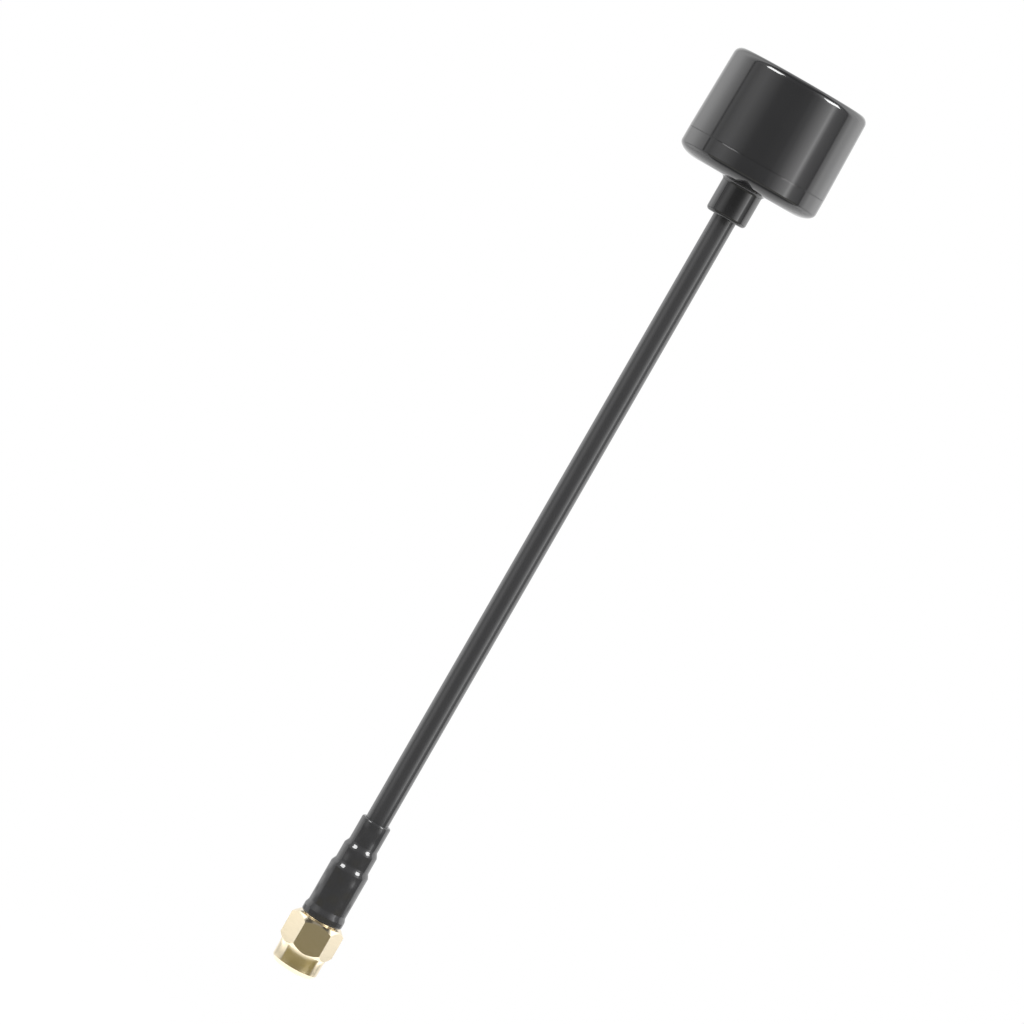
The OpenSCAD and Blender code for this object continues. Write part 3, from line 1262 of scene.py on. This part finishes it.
@dataclass
class CouplingNut:
    """The gold-plated hexagon nut: turned collar, chamfered hexagon and cut thread."""

    flats_mm: float = 8.0
    turn: float = 5.4
    collar_radius_mm: float = 3.91
    collar_length_mm: float = 2.75
    collar_taper_mm: float = 0.7
    waist_length_mm: float = 0.75
    waist_step_mm: float = 0.01
    front_ring_mm: float = 0.1
    front_cone: float = 40.0
    rear_cone: float = 46.0
    rear_bite_mm: float = 0.2
    mouth_radius_mm: float = 3.2
    mouth_length_mm: float = 1.2
    bore_chamfer_mm: float = 0.1
    thread_pitch_mm: float = 0.7056
    thread_root_mm: float = 3.14
    thread_crest_mm: float = 2.8
    # Share of the thread's depth that is cut flat at its crest and at its root
    thread_flat: float = 0.125
    thread_rows: int = 12
    # Distance from the mouth's end to the thread, and length over which it runs out
    thread_start_mm: float = 0.25
    run_out_mm: float = 0.3
    thread_end_mm: float = 4.8
    relief_radius_mm: float = 3.15
    relief_end_mm: float = 5.75
    rear_radius_mm: float = 2.8
    groove_radius_mm: float = 3.1
    groove_from_mm: float = 6.7
    groove_to_mm: float = 7.45
    segments: int = 144
    edge_mm: float = 0.07

    def hexagon(self, angle: float) -> float:
        """Radius of the hexagon at an angle.

        Args:
            angle: Angle about the axis in radians, from the middle of a corner.

        Returns:
            The radius in millimetres.
        """
        side = math.pi / 3
        from_flat = (angle % side) - side / 2
        return self.flats_mm / 2 / math.cos(from_flat)

    def thread(self, angle: float, height: float, low: float, high: float) -> float:
        """Radius of the inner right-hand thread, which runs out at both ends.

        Args:
            angle: Angle about the axis in radians.
            height: Height in millimetres.
            low: Height at which the thread starts.
            high: Height at which it ends.

        Returns:
            The radius in millimetres.
        """
        phase = (height / self.thread_pitch_mm - angle / (2 * math.pi)) % 1
        flat = self.thread_flat
        crest = min(max(abs(phase - 0.5) * 2 * (1 + 2 * flat) - flat, 0.0), 1.0)
        inside = min(height - low, high - height)
        run_out = min(max(inside / self.run_out_mm, 0.0), 1.0)
        middle = (self.thread_root_mm + self.thread_crest_mm) / 2
        depth = self.thread_root_mm - self.thread_crest_mm
        return middle + depth * (crest - 0.5) * run_out

    def column(self, angle: float, length: float) -> Outline:
        """Outline at one angle, from the mouth up the outside and down the bore.

        Args:
            angle: Angle about the axis in radians, from the middle of a corner.
            length: Length of the nut in millimetres.

        Returns:
            The outline's points.
        """
        front = math.tan(math.radians(self.front_cone))
        rear = math.tan(math.radians(self.rear_cone))
        hexagon = self.hexagon(angle)
        collar = self.collar_radius_mm
        chamfer = self.bore_chamfer_mm
        mouth = self.mouth_radius_mm
        ring = mouth + chamfer + self.front_ring_mm
        waist = self.flats_mm / 2 - self.waist_step_mm
        waist_end = self.collar_length_mm + self.waist_length_mm
        rear_ring = self.flats_mm / 2 - self.rear_bite_mm
        points = [
            (mouth, chamfer),
            (mouth + chamfer, 0.0),
            (ring, 0.0),
            (collar, self.collar_taper_mm),
            (collar, self.collar_length_mm),
            (waist, waist_end),
            (hexagon, waist_end + (hexagon - waist) / front),
            (hexagon, length - (hexagon - rear_ring) / rear),
            (rear_ring, length),
            (self.rear_radius_mm + chamfer, length),
            (self.rear_radius_mm, length - chamfer),
            (self.rear_radius_mm, self.groove_to_mm),
            (self.groove_radius_mm, self.groove_to_mm),
            (self.groove_radius_mm, self.groove_from_mm),
            (self.rear_radius_mm, self.groove_from_mm),
            (self.rear_radius_mm, self.relief_end_mm),
            (self.relief_radius_mm, self.relief_end_mm),
            (self.relief_radius_mm, self.thread_end_mm),
        ]
        low = self.mouth_length_mm + self.thread_start_mm
        high = self.thread_end_mm
        rows = int((high - low) / self.thread_pitch_mm * self.thread_rows)
        for j in range(rows + 1):
            z = high - (high - low) * j / rows
            points.append((self.thread(angle, z, low, high), z))
        points.append((mouth, self.mouth_length_mm))
        return points

    def build(self) -> bpy.types.Object:
        """Builds the nut with softly rounded edges.

        Returns:
            The nut.
        """
        _, bottom, top = span_mm("coupling_nut")
        columns = []
        for i in range(self.segments):
            a = 2 * math.pi * i / self.segments
            turned = a + math.radians(self.turn)
            outline = [(r, bottom + z) for r, z in self.column(a, top - bottom)]
            columns.append(ring_points(outline, turned))
        piece = revolved("plated_nut", columns, closed=True)
        rounded_edges(piece, self.edge_mm)
        return dress(piece, GOLD_PLATED_BRASS, "nut", "coupling_nut")


@dataclass
class Stalk:
    """The jacketed stalk between plug and radome."""

    inner_radius_mm: float = 1.8
    segments: int = 96
    ring_mm: float = 1.0

    def build(self) -> bpy.types.Object:
        """Builds the jacket with a ring every millimetre.

        Returns:
            The jacket.
        """
        radius, bottom, top = span_mm("cable_jacket")
        rings = int((top - bottom) / self.ring_mm)
        heights = [bottom + (top - bottom) * i / rings for i in range(rings + 1)]
        outline = [(radius, z) for z in heights]
        outline += [(self.inner_radius_mm, top), (self.inner_radius_mm, bottom)]
        piece = lathe("stalk_jacket", outline, self.segments)
        return dress(piece, EXTRUDED_JACKET, "antenna", "cable_jacket")


def dress_solids() -> None:
    """Gives each solid that shows as it is the finish of its material slot."""
    by_slot = {finish.slot: finish for finish in FINISHES}
    slots = {
        part["node"]: part["material_slot"] for part in frame["record"]["subparts"]
    }
    for name, piece in sorted(frame["nodes"].items()):
        finish = by_slot[slots[name]]
        piece.data.materials.clear()
        piece.data.materials.append(finish.material())
        LOG.info("%s: %s", name, finish.name)


def main() -> None:
    """Builds the camera, the studio and each sub-assembly in order."""
    logging.basicConfig(level=logging.INFO, format="%(message)s")
    Camera().build()
    Studio().build()
    dress_solids()
    Radome().build()
    Stalk().build()
    ShrinkSleeve().build()
    CouplingNut().build()


if __name__ == "__main__":
    main()
